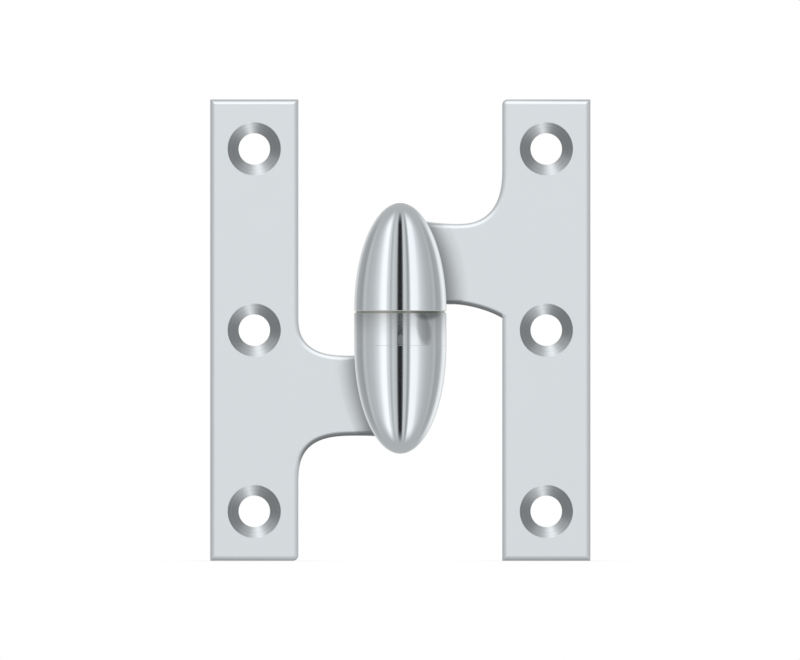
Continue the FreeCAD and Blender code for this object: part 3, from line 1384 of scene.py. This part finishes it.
@dataclass
class Studio:
    """A white room with a light tent for each finish, a pale floor and the camera.

    Each tent is plain soft light. Polished chrome shows every panel's edge, satin chrome only
    how much comes from the front, the side, above and below, and turned chrome how much comes
    from each hour round the screw hole. Grades go by angles in degrees, and so do the fades,
    which end in a grey.
    """

    sizes: HingeSizes = SIZES
    polished_level: float = 0.62
    satin_level: float = 0.72
    turned_level: float = 0.55
    tent_radius: float = 3000.0
    tent_gap: float = 150.0
    lens: float = 1000.0
    picture_width: float = 110.05
    picture_centre: Point = (-0.04, 0.0, 0.02)
    floor_reach: float = 600.0
    floor_shade: float = 0.72
    shade_reach: float = 14.0
    shade_samples: int = 8
    left: Grades = (
        (0, 40), (4, 38), (5, 43), (6, 84), (8, 136), (9, 174), (11, 186), (17, 198),
        (20, 195), (23, 173), (25, 175), (27, 200), (33, 218), (34, 232), (37, 254),
        (46, 252), (59, 211), (73, 186), (90, 176), (102, 188), (105, 182), (108, 170),
        (110, 158), (113, 154), (120, 154), (137, 165), (142, 173), (149, 196), (154, 195),
        (165, 195), (170, 192), (180, 70),
    )
    right: Grades = (
        (0, 42), (3, 30), (5, 97), (6, 99), (7, 154), (8, 203), (14, 197), (18, 155),
        (20, 153), (22, 169), (24, 205), (26, 238), (28, 248), (42, 244), (50, 216),
        (58, 197), (70, 179), (86, 170), (95, 181), (104, 158), (121, 170), (124, 187),
        (128, 204), (134, 226), (145, 233), (150, 222), (154, 215), (160, 195), (170, 192),
        (180, 70),
    )
    bend: float = 0.43
    upper_fade: Point = (58, 97, 176)
    lower_fade: Point = (54, 86, 174)
    fade_lead: float = 12.0
    fade_fold: float = 4.0
    fade_tilt: Tuple[float, float] = (0.35, 0.8)
    beside: Grades = (
        (0, 218), (14, 214), (36, 205), (61, 195), (90, 182), (128, 168), (140, 186), (155, 206),
    )
    above: Grades = (
        (0, 218), (8, 236), (16, 253), (30, 261), (60, 264), (75, 252), (96, 203), (128, 148),
        (140, 180), (155, 206),
    )
    below: Grades = (
        (0, 218), (14, 208), (40, 195), (66, 182), (96, 166), (128, 140), (140, 168), (155, 206),
    )
    satin_tilt: Tuple[float, float] = (0.3, 0.9)
    right_gain: Point = (0.7, 0.95, 0.07)
    clock: Grades = (
        (0, 209), (8, 186), (15, 170), (30, 156), (45, 133), (60, 124), (90, 122), (105, 124),
        (120, 134), (135, 154), (150, 173), (160, 203), (167, 224), (175, 203), (182, 176),
        (195, 138), (210, 126), (225, 119), (270, 119), (285, 127), (300, 149), (315, 160),
        (330, 190), (338, 222), (346, 238), (353, 228), (360, 209),
    )
    clock_gain: float = 1.15
    clock_fall: Point = (70, 126, 0.3)

    def build(self, polished: Shapes, turned: Shapes, satin: Shapes) -> None:
        """Builds the room, the tents, the floor and the camera.

        Args:
            polished: The pieces that mirror what stands round them.
            turned: The pieces whose cutting marks spread the light round their axis.
            satin: The pieces that only shade softly.
        """
        world = bpy.data.worlds.new("studio")
        world.use_nodes = True
        bpy.context.scene.world = world
        graph = Graph(world.node_tree)
        glow = graph.take("ShaderNodeBackground", "Background", inputs={"Color": WHITE})
        graph.close("ShaderNodeOutputWorld", glow)
        radius, gap = self.tent_radius, self.tent_gap
        Tent("inner_tent", radius, True).raise_over(polished, self.panelled)
        Tent("middle_tent", radius + gap, True).raise_over(turned, self.ringed)
        Tent("outer_tent", radius + 2 * gap, False).raise_over(satin, self.graded)
        self.floor()
        self.camera()

    def panelled(self, way: Direction) -> Signal:
        """Lights the polished pieces with upright panels, blurred out overhead.

        Args:
            way: The direction.

        Returns:
            The cloth's light.
        """
        graph, x, y, z = way.graph, way.x, way.y, way.z
        round_about = abs(x).math("ARCTAN2", z * z * self.bend - y) / math.pi
        ramps = [
            graph.ramp(round_about, grades, 180, self.polished_level)
            for grades in (self.left, self.right)
        ]
        light = graph.blend(x.math("GREATER_THAN", 0.0), *ramps)
        lift = abs(z).math("ARCTAN2", y * -1)
        lift = lift.math("MINIMUM", (math.pi - lift) * self.fade_fold)
        lift = lift - abs(x) * math.radians(self.fade_lead)
        tilt = graph.remap(abs(z) / way.spread, *self.fade_tilt)
        above = z.math("GREATER_THAN", 0.0)
        for (low, high, level), side in ((self.upper_fade, above), (self.lower_fade, 1 - above)):
            fade = graph.remap(lift, math.radians(low), math.radians(high)) * tilt * side
            light = graph.blend(fade, light, grey(linear(level) / self.polished_level))
        return light

    def graded(self, way: Direction) -> Signal:
        """Lights the satin pieces evenly from the front, most from above, least from below.

        Args:
            way: The direction.

        Returns:
            The cloth's light.
        """
        graph, aside = way.graph, way.aside / math.pi
        beside, above, below = (
            graph.ramp(aside, grades, 180, self.satin_level)
            for grades in (self.beside, self.above, self.below)
        )
        tilt = way.z / way.spread
        light = graph.blend(graph.remap(tilt, *self.satin_tilt), beside, above)
        light = graph.blend(graph.remap(tilt * -1, *self.satin_tilt), light, below)
        return graph.vector("MULTIPLY", light, graph.remap(way.x, *self.right_gain) + 1)

    def ringed(self, way: Direction) -> Signal:
        """Lights the turned pieces by the hour, most from above and from below.

        Args:
            way: The direction.

        Returns:
            The cloth's light.
        """
        hour = way.x.math("ARCTAN2", way.z) / (2 * math.pi)
        hour = hour + hour.math("LESS_THAN", 0.0)
        light = way.graph.ramp(hour, self.clock, 360, self.turned_level)
        near, far, lost = self.clock_fall
        fall = way.graph.remap(way.aside, math.radians(near), math.radians(far), lost)
        return way.graph.vector("MULTIPLY", light, self.clock_gain - fall)

    def floor(self) -> None:
        """Lays a white floor that shades softly near what stands on it, clear from below."""
        floor = Workpiece.sheet("floor", (0.0, 0.0, 0.0), self.floor_reach, self.floor_reach)
        with floor.editing():
            floor.turn(math.pi / 2, "X")
            floor.push(z=-self.sizes.leaf_height / 2)
        made, graph = new_material("pale_floor")
        reach = {"Distance": self.shade_reach * MM}
        settings = {"samples": self.shade_samples}
        near = graph.take("ShaderNodeAmbientOcclusion", "AO", settings, reach)
        colour = graph.blend(near, grey(self.floor_shade), WHITE)
        glow = graph.take("ShaderNodeEmission", "Emission", inputs={"Color": colour})
        clear = graph.take("ShaderNodeBsdfTransparent", "BSDF")
        below = graph.take("ShaderNodeNewGeometry", "Backfacing")
        mixed = graph.take("ShaderNodeMixShader", 0, inputs={0: below, 1: glow, 2: clear})
        graph.close("ShaderNodeOutputMaterial", mixed)
        floor.shape.data.materials.append(made)
        floor.shape.visible_glossy = False

    def camera(self) -> None:
        """Sets the camera square on to the leaves, far off, as the photograph was taken."""
        data = bpy.data.cameras.new("camera")
        data.lens = self.lens
        distance = self.picture_width * MM * self.lens / data.sensor_width
        data.clip_end = distance * 2
        camera = bpy.data.objects.new("camera", data)
        bpy.context.scene.collection.objects.link(camera)
        camera.location = Vector(self.picture_centre) * MM + Vector((0, -distance, 0))
        camera.rotation_euler = (math.pi / 2, 0, 0)
        bpy.context.scene.camera = camera


def leaves(s: HingeSizes) -> Sequence[Leaf]:
    """Describes both leaves.

    Args:
        s: The hinge's sizes.

    Returns:
        The frame leaf and the door leaf.
    """
    door_bore = s.pin_radius + s.running_clearance
    return (
        Leaf("frame", FRAME_ARM, -s.frame_seat, s.fixed_seam_break, s.pin_radius, True),
        Leaf("door", DOOR_ARM, s.door_seat, s.running_seam_break, door_bore, False),
    )


def rings(s: HingeSizes) -> Sequence[Tuple[Ring, ChromeFinish]]:
    """Describes the rings between the knuckles.

    Args:
        s: The hinge's sizes.

    Returns:
        Each ring with its finish.
    """
    small, large = s.fixed_seam_break, s.running_seam_break
    bore, radius = s.pin_radius + s.collar_clearance, s.knuckle_radius
    size = (s.frame_seat, s.collar_height, radius, bore, small, large)
    collar = Ring("bearing_collar", "frame_side", "collar_chrome", *size)
    bore, radius = s.pin_radius + s.washer_clearance, s.knuckle_radius - s.washer_recess
    size = (s.collar_top, s.washer_thickness, radius, bore, small, small)
    washer = Ring("thrust_washer", "washer", "washer_brass", *size)
    return (collar, COLLAR), (washer, BRASS)


def main() -> None:
    """Builds the whole scene."""
    logging.basicConfig(level=logging.INFO)
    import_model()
    satin, polished, turned = SATIN.material(), POLISHED.material(), TURNED.material()
    for leaf in leaves(SIZES):
        leaf.build(satin, polished, turned)
    for ring, finish in rings(SIZES):
        ring.build(finish.material())
    Pin().build(STEEL.material())
    lit = {"polished": [], "turned": [], "satin": []}
    for shape in bpy.data.objects:
        if shape.type == "MESH" and not shape.hide_render:
            group = {satin: "satin", turned: "turned"}.get(shape.data.materials[0], "polished")
            lit[group].append(shape)
            shape.visible_glossy = False
    Studio().build(**lit)
    bpy.context.scene.view_settings.view_transform = "Standard"
    select_only()


if __name__ == "__main__":
    main()
